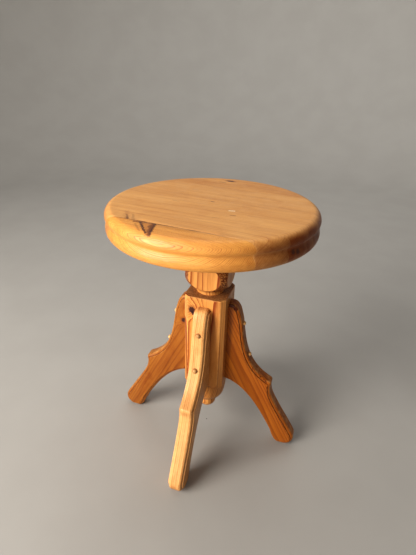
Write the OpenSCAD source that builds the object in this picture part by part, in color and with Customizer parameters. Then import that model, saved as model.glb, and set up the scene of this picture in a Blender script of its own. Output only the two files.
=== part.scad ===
// Adjustable swivel stool in pine: a round seat glued up from five boards, on a steel screw
// that turns in a nut let into the top of a turned post, with four shaped legs screwed to the
// post. Origin on the floor under the middle of the post, +Z up, the front leg towards -Y.

/* [Seat] */
// Diameter of the seat
seat_d = 350; // [320:5:380]
// Thickness of the seat boards
seat_t = 45; // [40:1:50]
// Height of the top of the seat above the floor, as shown
seat_top = 490; // [486:1:500]
// Turn of the board joints away from the X axis, in degrees
grain_turn = -6; // [-20:1:20]
// Radius of the top edge's rounding
top_round = 13; // [8:1:13]
// Radius of the bottom edge's rounding
bottom_round = 12; // [8:1:14]

/* [Post] */
// Side of the square post
post_side = 77; // [70:1:84]
// Chamfer on the post's corners, measured along each face
post_chamfer = 8; // [4:1:10]
// Height where the square part begins
square_low = 130; // [124:1:134]
// Height of the shoulder where the square part ends
square_high = 328; // [322:1:330]
// Height of the post's top, under the nut plate
post_top = 389; // [386:1:392]
// Radius of the well that the screw runs down
well_r = 14; // [13.5:0.5:15]

/* [Legs] */
// Thickness of a leg
leg_t = 28; // [24:1:32]
// Reach of a leg from the post's centre line
leg_reach = 187.5; // [180:0.5:195]
// Height of the upper leg screw
upper_screw_z = 268; // [260:1:272]
// Height of the lower leg screw
lower_screw_z = 201; // [195:0.5:205]
// Diameter of the wooden plugs over the leg screws
plug_d = 9; // [8:0.5:10]

/* [Screw] */
// Outside diameter of the screw's thread
thread_d = 25; // [24:0.5:26]
// Lead of the single-start thread
pitch = 6; // [6:1:6]
// Depth of the thread
thread_depth = 2.7; // [2:0.1:3]
// Radial clearance between the screw and its nut
thread_gap = 0.35; // [0.3:0.05:0.5]
// How far the seat can rise from the height shown
rise = 66; // [60:1:66]
// How far the seat can sink from the height shown
sink = 44; // [36:1:44]

/* [Hidden] */
$fn = 96;
e = 0.01;

pine = [0.86, 0.60, 0.32];
pine_deep = [0.78, 0.48, 0.20];
pine_pale = [0.93, 0.74, 0.48];
steel = [0.62, 0.63, 0.65];
iron = [0.30, 0.30, 0.31];
felt = [0.27, 0.25, 0.22];

// seat
seat_r = seat_d / 2;
seat_low = seat_top - seat_t;
// board joints, as distances from the seat's centre across the grain
joints_at = [-seat_r - 5, -130, -88, -4, 92, seat_r + 5];

// steel plate under the seat
flange_r = 60;
flange_t = 4;
flange_low = seat_low - flange_t;
flange_screw_at = 45;
flange_screw_len = 29;

// nut and its plate on the post
plate_r = 35;
plate_t = 4;
plate_screw_at = 28.5;
nut_across_corners = 41.5;
nut_h = 22;
nut_low = post_top - nut_h;
washer_t = 3;

// screw
core_r = thread_d / 2 - thread_depth;
tip_r = 6;
tenon_r = 7.9;
segments = 24;
collar_h = 10;
collar_r = 13.2;
collar_high = nut_low - rise - 1;
spindle_low = collar_high - collar_h - 2;
thread_low = collar_high + 1;
thread_turns = 22;

// leg screws
post_half = post_side / 2;
screw_seat = 54;
screw_tip = 18;
shank_r = 2.5;
head_r = 4.3;
head_h = 3;
plug_proud = 4.4;

function arc(cx, cz, r, from, to, n) =
    [for (i = [0 : n]) let (a = from + (to - from) * i / n) [cx + r * cos(a), cz + r * sin(a)]];

function bezier(p, q, r, s, n) =
    [for (i = [0 : n])
        let (t = i / n, u = 1 - t)
        u * u * u * p + 3 * u * u * t * q + 3 * u * t * t * r + t * t * t * s];

// ---- seat ---------------------------------------------------------------------------------

// Half section of the seat: rounded top lobe, shallow cove, rounded bottom lobe.
function seat_section() =
    let (
        cove_r = 8,
        cove_z = seat_top - 20,
        cove_out = seat_r + 5.2,
        swing = acos((cove_out - seat_r) / cove_r)
    )
    concat(
        [[0, seat_low]],
        arc(seat_r - bottom_round, seat_low + bottom_round, bottom_round, -90, 0, 8),
        arc(cove_out, cove_z, cove_r, 180 + swing, 180 - swing, 8),
        arc(seat_r - top_round, seat_top - top_round, top_round, 0, 90, 8),
        [[0, seat_top]]
    );

module at_flange_screws() {
    for (a = [45 : 90 : 315]) {
        rotate([0, 0, a]) translate([flange_screw_at, 0, 0]) children();
    }
}

module seat_board(i) {
    color(pine)
    difference() {
        intersection() {
            rotate_extrude() polygon(seat_section());
            rotate([0, 0, grain_turn])
            translate([-seat_r - 5, joints_at[i - 1], seat_low - 1])
            cube([seat_d + 10, joints_at[i] - joints_at[i - 1], seat_t + 2]);
        }
        at_flange_screws()
        translate([0, 0, seat_low - 1])
        cylinder(r = 2.05, h = flange_screw_len - flange_t + 1.5, $fn = 24);
    }
}

// ---- steel under the seat -----------------------------------------------------------------

module spindle_flange() {
    color(iron)
    difference() {
        translate([0, 0, flange_low]) cylinder(r = flange_r, h = flange_t);
        translate([0, 0, flange_low - 1]) cylinder(r = tenon_r + 0.1, h = flange_t + 2);
        at_flange_screws() {
            translate([0, 0, flange_low - 1]) cylinder(r = 2.1, h = flange_t + 2, $fn = 24);
            translate([0, 0, flange_low - e]) cylinder(r1 = 4.3, r2 = 2.1, h = 2.2, $fn = 24);
        }
    }
}

module flange_screws() {
    color(steel)
    at_flange_screws()
    translate([0, 0, flange_low]) {
        cylinder(r = 2, h = flange_screw_len, $fn = 24);
        cylinder(r1 = 4.1, r2 = 2, h = 2.1, $fn = 24);
    }
}

// ---- screw thread -------------------------------------------------------------------------

// One solid of revolution with a right-hand thread, in columns of points that climb from the
// bottom to the top. ends_low and ends_high are the [radius, height] steps below and above the
// thread; the ridge starts at z0, runs for whole turns, and fades out over its first and last
// half turn. ridge holds the four heights of the ridge's corners within one lead.
module threaded_bar(root, crest, z0, turns, ridge, ends_low, ends_high) {
    low_rows = len(ends_low);
    rows = low_rows + 4 * turns + len(ends_high);
    last = low_rows + 4 * turns - 1;

    function fade(s) = max(0, min(1, 2 * s, 2 * (turns - s)));
    function ridge_point(j, t, k) =
        let (s = t + j / segments, out = (k == 1 || k == 2) ? (crest - root) * fade(s) : 0)
        [root + out, z0 + pitch * s + ridge[k]];
    function column(j) = concat(
        ends_low,
        [for (t = [0 : turns - 1], k = [0 : 3]) ridge_point(j, t, k)],
        ends_high
    );
    function turned(p, j) =
        [p[0] * cos(360 * j / segments), p[0] * sin(360 * j / segments), p[1]];
    function id(j, k) = j * rows + k;
    // the column that closes the last gap is the first one, one lead further up
    function next_id(j, k) =
        j + 1 < segments ? id(j + 1, k)
        : k < low_rows || k > last ? id(0, k)
        : k <= last - 4 ? id(0, k + 4)
        : segments * rows + k - (last - 3);

    points = concat(
        [for (j = [0 : segments - 1]) for (p = column(j)) turned(p, j)],
        [for (k = [0 : 3]) turned(ridge_point(segments, turns - 1, k), 0)]
    );
    walls = [
        for (j = [0 : segments - 1], k = [0 : rows - 2])
            if (!(j == segments - 1 && k == low_rows - 1) && !(j == 0 && k == last))
                for (half = [0, 1])
                    half == 0
                        ? [id(j, k), id(j, k + 1), next_id(j, k + 1)]
                        : [id(j, k), next_id(j, k + 1), next_id(j, k)]
    ];
    // where the ridge starts and ends, its four corners lie on one straight edge
    before = segments - 1;
    start_edge = [for (k = [4 : -1 : -1]) id(0, low_rows + k)];
    finish_edge = concat([id(0, last)], [for (k = [0 : 3]) segments * rows + k], [id(0, last + 1)]);
    ends = concat(
        [for (k = [0 : 4]) [id(before, low_rows), start_edge[k], start_edge[k + 1]]],
        [[id(before, low_rows), id(0, low_rows - 1), id(before, low_rows - 1)]],
        [for (k = [0 : 4]) [id(1, last), finish_edge[k], finish_edge[k + 1]]],
        [[id(1, last), id(0, last + 1), id(1, last + 1)]]
    );
    bottom = [for (j = [0 : segments - 1]) id(j, 0)];
    top = [for (j = [segments - 1 : -1 : 0]) id(j, rows - 1)];
    polyhedron(points, concat(walls, ends, [bottom, top]), convexity = 10);
}

module spindle() {
    color(steel)
    threaded_bar(
        core_r, thread_d / 2, thread_low, thread_turns, [0.6, 1.8, 3.0, 4.2],
        [[tip_r, spindle_low], [tip_r, collar_high], [core_r, collar_high]],
        [[core_r, flange_low], [tenon_r, flange_low], [tenon_r, seat_low]]
    );
}

module spindle_nut() {
    // whole leads above the spindle's own start keep the two threads in step
    start = thread_low + pitch * floor((nut_low - thread_low) / pitch) - 2 * pitch;
    turns = ceil(nut_h / pitch) + 4;
    root = core_r + thread_gap;
    color(iron)
    difference() {
        translate([0, 0, nut_low]) cylinder(d = nut_across_corners, h = nut_h, $fn = 6);
        threaded_bar(
            root, thread_d / 2 + thread_gap, start, turns, [0.2, 1.4, 3.4, 4.6],
            [[root, start - 1]],
            [[root, start + turns * pitch + 6]]
        );
    }
}

module stop_collar() {
    color(steel)
    difference() {
        translate([0, 0, collar_high - collar_h]) cylinder(r = collar_r, h = collar_h);
        translate([0, 0, collar_high - collar_h - 1]) cylinder(r = tip_r + 0.05, h = collar_h + 2);
        translate([0, 0, collar_high - collar_h / 2])
        rotate([0, 90, 0])
        cylinder(r = 1.55, h = collar_r + 1, $fn = 24);
    }
}

module collar_grub_screw() {
    color(iron)
    translate([tip_r, 0, collar_high - collar_h / 2])
    rotate([0, 90, 0])
    cylinder(r = 1.5, h = collar_r - tip_r - 0.4, $fn = 24);
}

// ---- on top of the post -------------------------------------------------------------------

module felt_washer() {
    color(felt)
    translate([0, 0, post_top + plate_t])
    difference() {
        cylinder(r = plate_r - 2, h = washer_t);
        translate([0, 0, -1]) cylinder(r = well_r, h = washer_t + 2);
    }
}

module at_plate_screws() {
    for (a = [30 : 120 : 270]) {
        rotate([0, 0, a]) translate([plate_screw_at, 0, post_top + plate_t]) children();
    }
}

module plate_screw(extra) {
    translate([0, 0, -18]) cylinder(r = 1.6 + extra, h = 18 + extra, $fn = 24);
    translate([0, 0, -1.7]) cylinder(r1 = 1.6 + extra, r2 = 3.2 + extra, h = 1.7 + e, $fn = 24);
}

module nut_plate() {
    color(iron)
    difference() {
        translate([0, 0, post_top]) cylinder(r = plate_r, h = plate_t);
        translate([0, 0, post_top - 1]) cylinder(r = well_r, h = plate_t + 2);
        at_plate_screws() plate_screw(0.1);
    }
}

module nut_plate_screws() {
    color(steel)
    intersection() {
        at_plate_screws() plate_screw(0);
        cylinder(r = plate_r, h = post_top + plate_t);
    }
}

// ---- post ---------------------------------------------------------------------------------

// Half section of the turning: pendant knob, dome, the untouched square, neck and ball head.
function turned_section() =
    let (clear = post_side)
    concat(
        [[0, 52]],
        arc(10, 60, 8, -90, 0, 5),
        bezier([18, 66], [19.5, 71], [18.5, 76], [17.5, 78.5], 3),
        bezier([18.5, 79.5], [26, 80], [32.5, 87], [34, 96], 5),
        [[38, square_low - 1], [38, square_low], [clear, square_low], [clear, square_high]],
        [[25, square_high], [25, square_high + 7], [26, square_high + 9.6]],
        arc(19, 366, 29.3, -76, 50, 14),
        [[36.5, post_top], [0, post_top]]
    );

module post_square() {
    flat = post_half - post_chamfer;
    linear_extrude(post_top)
    polygon([
        [post_half, -flat], [post_half, flat], [flat, post_half], [-flat, post_half],
        [-post_half, flat], [-post_half, -flat], [-flat, -post_half], [flat, -post_half]
    ]);
}

module post() {
    color(pine_deep)
    difference() {
        intersection() {
            post_square();
            rotate_extrude() polygon(turned_section());
        }
        translate([0, 0, spindle_low - sink - 8]) cylinder(r = well_r, h = 200);
        translate([0, 0, nut_low - 1]) cylinder(r = nut_across_corners / 2 + 0.6, h = nut_h + 2);
        at_plate_screws() plate_screw(0.1);
        at_leg_screws()
        translate([screw_tip - 1, 0, 0])
        rotate([0, 90, 0])
        cylinder(r = shank_r + 0.05, h = post_side, $fn = 24);
    }
}

// ---- legs ---------------------------------------------------------------------------------

// The hollow outer edge of a leg, from its top corner to its knee: distance out, height.
function outer_edge(n) = bezier([62, 288], [73, 254], [65, 182], [127.5, 151.5], n);

// Outline of a leg in the plane of the post's centre line: distance out, height.
function leg_outline() = concat(
    [[post_half, 311]],
    bezier([44, 311], [54, 311], [59, 300], [61.7, 289], 6),
    outer_edge(12),
    bezier([129, 150.3], [130.8, 148], [130.6, 143], [129.3, 137], 3),
    bezier([130, 133], [135, 108], [156, 76], [leg_reach - 4.2, 32.3], 5),
    arc(leg_reach - 20, 20, 20, 30, -90, 8),
    bezier([158, 0], [150, 0], [143, 14], [138.5, 29], 5),
    bezier([136, 33.5], [118, 66], [86, 128], [post_half, 137], 9)
);

// The outer edge's distance out at a height between the top corner and the knee.
function edge_out(z) = lookup(-z, [for (p = outer_edge(24)) [-p[1], p[0]]]);

module at_leg_screws() {
    for (a = [0 : 90 : 270], z = [upper_screw_z, lower_screw_z]) {
        rotate([0, 0, a]) translate([0, 0, z]) children();
    }
}

module leg(turn) {
    color(pine_deep)
    rotate([0, 0, turn])
    difference() {
        translate([0, leg_t / 2, 0])
        rotate([90, 0, 0])
        linear_extrude(leg_t)
        polygon(leg_outline());
        for (z = [upper_screw_z, lower_screw_z]) {
            translate([post_half - 1, 0, z])
            rotate([0, 90, 0])
            cylinder(r = shank_r + 0.05, h = 40, $fn = 24);
            translate([screw_seat, 0, z])
            rotate([0, 90, 0])
            cylinder(d = plug_d + 0.1, h = 60, $fn = 32);
        }
    }
}

module leg_screws() {
    color(steel)
    at_leg_screws()
    rotate([0, 90, 0]) {
        translate([0, 0, screw_tip]) cylinder(r = shank_r, h = screw_seat - screw_tip, $fn = 24);
        translate([0, 0, screw_seat]) cylinder(r = head_r, h = head_h, $fn = 24);
    }
}

// A plug with a domed head: the dome is the cap of a ball as wide as the plug at its base.
module screw_plug(z) {
    from = screw_seat + head_h;
    face = edge_out(z);
    ball = (plug_d * plug_d / 4 + plug_proud * plug_proud) / (2 * plug_proud);
    translate([0, 0, z])
    rotate([0, 90, 0])
    intersection() {
        translate([0, 0, from]) cylinder(d = plug_d, h = face + plug_proud - from + 1, $fn = 32);
        translate([0, 0, face + plug_proud - ball]) {
            sphere(r = ball, $fn = 48);
            translate([0, 0, -60]) cylinder(r = plug_d, h = 60, $fn = 32);
        }
    }
}

module screw_plugs() {
    color(pine_pale)
    for (a = [0 : 90 : 270], z = [upper_screw_z, lower_screw_z]) {
        rotate([0, 0, a]) screw_plug(z);
    }
}

seat_board(1);  // seat_board_1
seat_board(2);  // seat_board_2
seat_board(3);  // seat_board_3
seat_board(4);  // seat_board_4
seat_board(5);  // seat_board_5
spindle_flange();
flange_screws();
spindle();
stop_collar();
collar_grub_screw();
felt_washer();
nut_plate();
nut_plate_screws();
spindle_nut();
post();
leg(270);  // leg_front
leg(0);  // leg_right
leg(90);  // leg_back
leg(180);  // leg_left
leg_screws();
screw_plugs();
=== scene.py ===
"""Looks of the adjustable swivel stool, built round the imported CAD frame, in metres, +Z up."""

import math

import bmesh
import bpy
import numpy as np
from mathutils import Matrix, Vector


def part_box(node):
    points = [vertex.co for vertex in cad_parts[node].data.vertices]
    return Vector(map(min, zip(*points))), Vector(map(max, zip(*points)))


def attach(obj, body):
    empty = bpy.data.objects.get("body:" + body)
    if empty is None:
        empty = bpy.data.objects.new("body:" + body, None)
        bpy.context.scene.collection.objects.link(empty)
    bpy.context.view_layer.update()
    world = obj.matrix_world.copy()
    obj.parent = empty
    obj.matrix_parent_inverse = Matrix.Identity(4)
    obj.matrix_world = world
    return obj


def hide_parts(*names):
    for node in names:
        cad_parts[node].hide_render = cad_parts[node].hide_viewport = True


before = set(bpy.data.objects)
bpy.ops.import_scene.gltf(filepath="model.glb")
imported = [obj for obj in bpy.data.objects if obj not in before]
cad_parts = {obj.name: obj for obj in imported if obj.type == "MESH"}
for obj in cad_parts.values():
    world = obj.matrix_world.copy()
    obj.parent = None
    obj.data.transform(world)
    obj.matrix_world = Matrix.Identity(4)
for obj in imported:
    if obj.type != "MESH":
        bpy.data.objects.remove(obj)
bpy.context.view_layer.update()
MM = 0.001

# ---- places read from the frame ------

BOARDS = ["seat_board_1", "seat_board_2", "seat_board_3", "seat_board_4", "seat_board_5"]
SEAT_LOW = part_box("seat_board_3")[0].z
SEAT_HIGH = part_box("seat_board_3")[1].z
SEAT_R = max(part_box(n)[1].x for n in BOARDS)
GRAIN_TURN = math.radians(-6)
ALONG = np.array([math.cos(GRAIN_TURN), math.sin(GRAIN_TURN), 0])
ACROSS = np.array([-math.sin(GRAIN_TURN), math.cos(GRAIN_TURN), 0])
POST_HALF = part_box("post")[1].x
POST_LOW, POST_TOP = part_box("post")[0].z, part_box("post")[1].z
LEG_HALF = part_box("leg_right")[1].y
LEG_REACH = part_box("leg_right")[1].x
FLANGE_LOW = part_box("spindle_flange")[0].z


# ---- curves --------------------------


def arc(cx, cz, r, start, end, n):
    """Points on an arc, angles in degrees."""
    a = np.radians(np.linspace(start, end, n + 1))
    return np.stack([cx + r * np.cos(a), cz + r * np.sin(a)], 1)


def bezier(p, q, r, s, n):
    t = np.linspace(0, 1, n + 1)[:, None]
    p, q, r, s = (np.array(x, float) for x in (p, q, r, s))
    return (1 - t) ** 3 * p + 3 * (1 - t) ** 2 * t * q + 3 * (1 - t) * t ** 2 * r + t ** 3 * s


def line(p, q, n):
    return np.linspace(p, q, n + 1)


def joined(*runs):
    """Runs of points as one path, without the points that repeat."""
    path = np.concatenate(runs)
    keep = np.ones(len(path), bool)
    keep[1:] = np.linalg.norm(np.diff(path, axis=0), axis=1) > 1e-6
    return path[keep]


def smooth_min(a, b, k):
    h = np.clip(0.5 + 0.5 * (b - a) / k, 0, 1)
    return b * (1 - h) + a * h - k * h * (1 - h)


# ---- meshes --------------------------


def linked(name, data):
    """A new object in the scene."""
    obj = bpy.data.objects.new(name, data)
    bpy.context.scene.collection.objects.link(obj)
    return obj


def mesh_object(name, verts, faces, smooth_angle):
    mesh = bpy.data.meshes.new(name)
    mesh.from_pydata([tuple(v) for v in verts], [], faces)
    mesh.validate()
    mesh.update()
    obj = linked(name, mesh)
    tidy_mesh(obj, smooth_angle)
    return obj


def tidy_mesh(obj, smooth_angle):
    """Merges doubled points, points the faces outwards and smooths all but the sharp edges."""
    bm = bmesh.new()
    bm.from_mesh(obj.data)
    bmesh.ops.remove_doubles(bm, verts=bm.verts, dist=2e-6)
    bmesh.ops.dissolve_degenerate(bm, edges=bm.edges, dist=1e-6)
    bmesh.ops.recalc_face_normals(bm, faces=bm.faces)
    limit = math.radians(smooth_angle)
    for f in bm.faces:
        f.smooth = True
    for e in bm.edges:
        e.smooth = len(e.link_faces) == 2 and e.calc_face_angle(0) < limit
    bm.to_mesh(obj.data)
    bm.free()
    obj.data.update()


def grid_faces(rows, columns, closed):
    """Faces of a grid of points, row by row; closed joins the last column to the first."""
    faces = []
    for i in range(rows - 1):
        for j in range(columns if closed else columns - 1):
            k = (j + 1) % columns
            a, b = i * columns, (i + 1) * columns
            faces.append((a + j, a + k, b + k, b + j))
    return faces


def lathe(name, path, segments, smooth_angle=40):
    """A solid of revolution about the vertical axis, from a path of (radius, height)."""
    a = np.linspace(0, 2 * math.pi, segments, endpoint=False)
    rows = [np.stack([r * np.cos(a), r * np.sin(a), np.full(segments, z)], 1) for r, z in path]
    return mesh_object(name, np.concatenate(rows), grid_faces(len(path), segments, True), smooth_angle)


def open_edges(edges):
    """The edges at the rim of a hole, which have one face only."""
    return [e for e in edges if len(e.link_faces) == 1]


def set_attribute(obj, name, values):
    a = obj.data.attributes.new(name, "FLOAT", "POINT")
    a.data.foreach_set("value", np.asarray(values, np.float32))


def object_points(obj):
    """The points of an object's mesh, one row for each."""
    co = np.zeros(3 * len(obj.data.vertices))
    obj.data.vertices.foreach_get("co", co)
    return co.reshape(-1, 3)


def place(obj, body, slot, *replaced):
    """Puts a piece on its body and in place of CAD nodes; slot is not used."""
    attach(obj, body)
    if replaced:
        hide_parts(*replaced)
    return obj


# ---- shader trees --------------------


class Shader:
    """A material's node tree, with one short call for each kind of node."""

    def __init__(self, name):
        self.material = bpy.data.materials.new(name)
        self.material.use_nodes = True
        self.tree = self.material.node_tree
        self.tree.nodes.clear()
        self.bsdf = self.node("ShaderNodeBsdfPrincipled")
        out = self.node("ShaderNodeOutputMaterial")
        self.tree.links.new(self.bsdf.outputs["BSDF"], out.inputs["Surface"])

    def node(self, kind, **settings):
        n = self.tree.nodes.new(kind)
        for key, value in settings.items():
            setattr(n, key, value)
        return n

    def feed(self, socket, value):
        if isinstance(value, bpy.types.NodeSocket):
            self.tree.links.new(value, socket)
        elif value is not None:
            socket.default_value = value

    def fill(self, node, values):
        """Links or sets the inputs of a node by their names."""
        for key, value in values.items():
            self.feed(node.inputs[key], value)

    def surface(self, values):
        self.fill(self.bsdf, values)
        return self.material

    def math(self, operation, *values, clamp=False):
        n = self.node("ShaderNodeMath", operation=operation, use_clamp=clamp)
        for socket, value in zip(n.inputs, values):
            self.feed(socket, value)
        return n.outputs[0]

    def times(self, a, b):
        return self.math("MULTIPLY", a, b)

    def plus(self, a, b):
        return self.math("ADD", a, b)

    def stretched(self, vector, factors):
        return self.vector("MULTIPLY", vector, factors)

    def vector(self, operation, *values):
        n = self.node("ShaderNodeVectorMath", operation=operation)
        for socket, value in zip(n.inputs, values):
            self.feed(socket, value)
        return n.outputs["Value" if operation in ("LENGTH", "DOT_PRODUCT") else "Vector"]

    def coords(self):
        return self.node("ShaderNodeTexCoord").outputs["Object"]

    def mapped(self, vector, location, rotation, scale):
        n = self.node("ShaderNodeMapping")
        self.fill(n, {"Vector": vector, "Location": location, "Rotation": rotation, "Scale": scale})
        return n.outputs[0]

    def noise(self, vector, scale, detail=2.0, roughness=0.5, dimensions="3D", output="Fac"):
        n = self.node("ShaderNodeTexNoise", noise_dimensions=dimensions)
        self.fill(n, {"W" if dimensions == "1D" else "Vector": vector, "Scale": scale,
                      "Detail": detail, "Roughness": roughness})
        return n.outputs[output]

    def ranged(self, value, low, high, to_low=0.0, to_high=1.0, smooth=True):
        n = self.node("ShaderNodeMapRange", interpolation_type="SMOOTHSTEP" if smooth else "LINEAR")
        self.fill(n, {"Value": value, "From Min": low, "From Max": high,
                      "To Min": to_low, "To Max": to_high})
        return n.outputs[0]

    def ramp(self, value, stops):
        """A ramp through stops of (position, colour)."""
        n = self.node("ShaderNodeValToRGB")
        self.feed(n.inputs[0], value)
        elements = n.color_ramp.elements
        while len(elements) < len(stops):
            elements.new(0.5)
        for element, (position, colour) in zip(elements, stops):
            element.position = position
            element.color = (*colour, 1)
        return n.outputs[0]

    def mix(self, factor, a, b, blend="MIX"):
        n = self.node("ShaderNodeMix", data_type="RGBA", blend_type=blend)
        self.feed(n.inputs[0], factor)
        self.feed(n.inputs[6], a if isinstance(a, bpy.types.NodeSocket) else (*a, 1))
        self.feed(n.inputs[7], b if isinstance(b, bpy.types.NodeSocket) else (*b, 1))
        return n.outputs[2]

    def tone(self, colour):
        """A plain colour as a socket, for marks that have one tone."""
        return self.mix(0.5, colour, colour)

    def scaled(self, vector, factor):
        n = self.node("ShaderNodeVectorMath", operation="SCALE")
        self.feed(n.inputs[0], vector)
        self.feed(n.inputs["Scale"], factor)
        return n.outputs[0]

    def off_line(self, off, axis, along):
        """Distance from the line along axis, for a point at off that lies along it by along."""
        return self.vector("LENGTH", self.vector("SUBTRACT", off, self.scaled(tuple(axis), along)))

    def grey(self, value):
        n = self.node("ShaderNodeCombineColor")
        for socket in n.inputs[:3]:
            self.feed(socket, value)
        return n.outputs[0]

    def attribute(self, name):
        return self.node("ShaderNodeAttribute", attribute_name=name).outputs["Fac"]

    def bump(self, height, distance, strength, normal=None):
        n = self.node("ShaderNodeBump")
        self.fill(n, {"Strength": strength, "Distance": distance, "Height": height, "Normal": normal})
        return n.outputs[0]


# ---- pine ----------------------------

TO_MM = (1000, 1000, 1000)
PALE = (0.82, 0.47, 0.17)
AMBER = (0.36, 0.095, 0.015)
RUST = (0.16, 0.030, 0.006)
KNOT_DARK = (0.030, 0.008, 0.010)
KNOT_BROWN = (0.20, 0.065, 0.020)
DULL = (0.30, 0.135, 0.046)
# dark colour of painted shade with grime in hollows and corners, also used for the darker front plugs
SHADE_GRIME = (0.085, 0.012, 0.006)
TORN_GRAIN = (0.13, 0.022, 0.004)
GLUE_DARK = (0.09, 0.028, 0.012)
# what end grain multiplies the colour by
END_GRAIN = (0.40, 0.19, 0.05)

# how dark a year's ring is from its start to its hard end
RING_PROFILE = [(0.0, 0.0), (0.40, 0.08), (0.72, 0.45), (0.88, 1.0), (0.97, 0.9), (1.0, 0.0)]
# what the colour is multiplied by as the shade rises
SHADE_TINTS = [(0.0, (1.0, 1.0, 1.0)), (0.25, (0.94, 0.92, 0.88)), (1.0, (0.60, 0.42, 0.26))]


def log_frame(grain):
    """Rotation that takes the grain direction to the local X axis."""
    x = Vector(grain).normalized()
    y = Vector((0, 0, 1)).cross(x)
    y = y.normalized() if y.length > 0.2 else Vector((0, 1, 0)).cross(x).normalized()
    return Matrix((x, y, x.cross(y)))


def pith_distance(s, log, wave, warp, place_mm, kink, drawn):
    """Distance from the log's centre, bent by slow waves, by a corner at kink and round knots."""
    waved = s.vector("ADD", log, s.stretched(wave, (0, 2 * warp, 2 * warp)))
    rho = s.vector("LENGTH", s.stretched(waved, (0, 1, 1)))
    if kink is not None:
        above = s.math("SUBTRACT", s.vector("DOT_PRODUCT", place_mm, (0, 0, 1)), kink)
        rho = s.plus(rho, s.times(s.math("ABSOLUTE", above), 0.5))
    for mark in drawn:
        if "push" in mark:
            rho = s.plus(rho, mark["push"])
    return rho


def year_rings(s, rho, spacing, wander):
    """How dark the rings make the wood at a distance rho from the pith."""
    ring_noise = s.noise(rho, 0.055, 1.0, dimensions="1D")
    phase = s.plus(s.math("DIVIDE", rho, spacing), s.times(ring_noise, wander))
    ring = s.ramp(s.math("FRACT", phase), [(at, (level,) * 3) for at, level in RING_PROFILE])
    year = s.noise(s.math("FLOOR", phase), 0.77, 0.0, dimensions="1D")
    return s.times(ring, s.ranged(year, 0.3, 0.7, 0.35, 1.0))


def wood_shade(s, log, fibre, stain, tone):
    """How much fibres, resin ducts, streaks and slow changes of tone darken the wood."""
    ducts = s.noise(s.stretched(log, (0.10, 2.4, 2.4)), 1.0, 1.0)
    streaks = s.noise(s.stretched(log, (0.010, 0.13, 0.13)), 1.0, 4.0, 0.6)
    slow = s.noise(s.stretched(log, (0.25, 1, 1)), 0.03, 2.0)
    shade = s.ranged(slow, 0.25, 0.75, 0.0, 2.2 * tone, smooth=False)
    parts = [
        s.ranged(fibre, 0.3, 0.7, -0.25, 0.32, smooth=False),
        s.ranged(streaks, 0.3, 0.7, -1.3 * tone, 2.0 * tone, smooth=False),
        s.times(s.ranged(ducts, 0.70, 0.80), 0.45),
        s.ranged(stain, 0.5, 0.75, 0.0, 1.2 * tone),
    ]
    for part in parts:
        shade = s.plus(shade, part)
    return shade


def glue_line(s, place_mm, offset, start, stop, strength):
    """An open glue line: a dark hair with breaks in it."""
    across = s.vector("DOT_PRODUCT", place_mm, tuple(ACROSS))
    along = s.vector("DOT_PRODUCT", place_mm, tuple(ALONG))
    near = s.math("ABSOLUTE", s.math("SUBTRACT", across, offset))
    breaks = s.ranged(s.noise(place_mm, 0.06, 2.0), 0.35, 0.6, 0.45, 1.0)
    hair = s.times(s.ranged(near, 0.7, 1.5, strength, 0.0), breaks)
    begins = s.ranged(along, start, start + 25)
    ends = s.ranged(along, stop - 40, stop, 1.0, 0.0)
    return s.times(hair, s.times(begins, ends))


def wood_wear_and_painted_light(s, metres, wave, wear_and_painted_light, colour, rough, height):
    """Colour, roughness and height with the wear, dirt, painted highlight and painted shade held in the
    named vertex attributes.
    """
    # paler where worn; on the arris of the legs' step this is a painted highlight
    if "wear_and_highlight" in wear_and_painted_light:
        scuff = s.ranged(s.noise(metres, 90.0, 4.0, 0.7), 0.42, 0.60)
        rubbed_and_highlit = s.times(s.attribute("wear_and_highlight"), scuff)
        colour = s.mix(s.times(rubbed_and_highlit, 0.40), colour, PALE)
        rough = s.plus(rough, s.times(rubbed_and_highlit, 0.15))
    if "torn" in wear_and_painted_light:
        cells = s.node("ShaderNodeTexVoronoi", feature="DISTANCE_TO_EDGE")
        shifted = s.vector("ADD", metres, s.stretched(wave, (0.01, 0.01, 0.01)))
        s.feed(cells.inputs["Vector"], shifted)
        cells.inputs["Scale"].default_value = 260.0
        split = s.ranged(cells.outputs["Distance"], 0.03, 0.22, 1.0, 0.25)
        split = s.times(split, s.attribute("torn"))
        colour = s.mix(split, colour, TORN_GRAIN)
        height = s.math("SUBTRACT", height, s.times(split, 2.0))
    if "dull" in wear_and_painted_light:
        dull = s.attribute("dull")
        dust = s.ranged(s.noise(metres, 420.0, 3.0, 0.7), 0.35, 0.65, 0.55, 1.35)
        dusty = s.mix(1.0, DULL, s.grey(dust), "MULTIPLY")
        colour = s.mix(s.times(dull, 0.8), colour, dusty)
        rough = s.plus(rough, s.times(dull, 0.4))
    # painted shade with grime: darker in hollows and corners
    if "shade_and_grime" in wear_and_painted_light:
        patchy = s.ranged(s.noise(metres, 70.0, 3.0), 0.3, 0.6, 0.45, 0.9)
        colour = s.mix(s.times(s.attribute("shade_and_grime"), patchy), colour, SHADE_GRIME)
    return colour, rough, height


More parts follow.
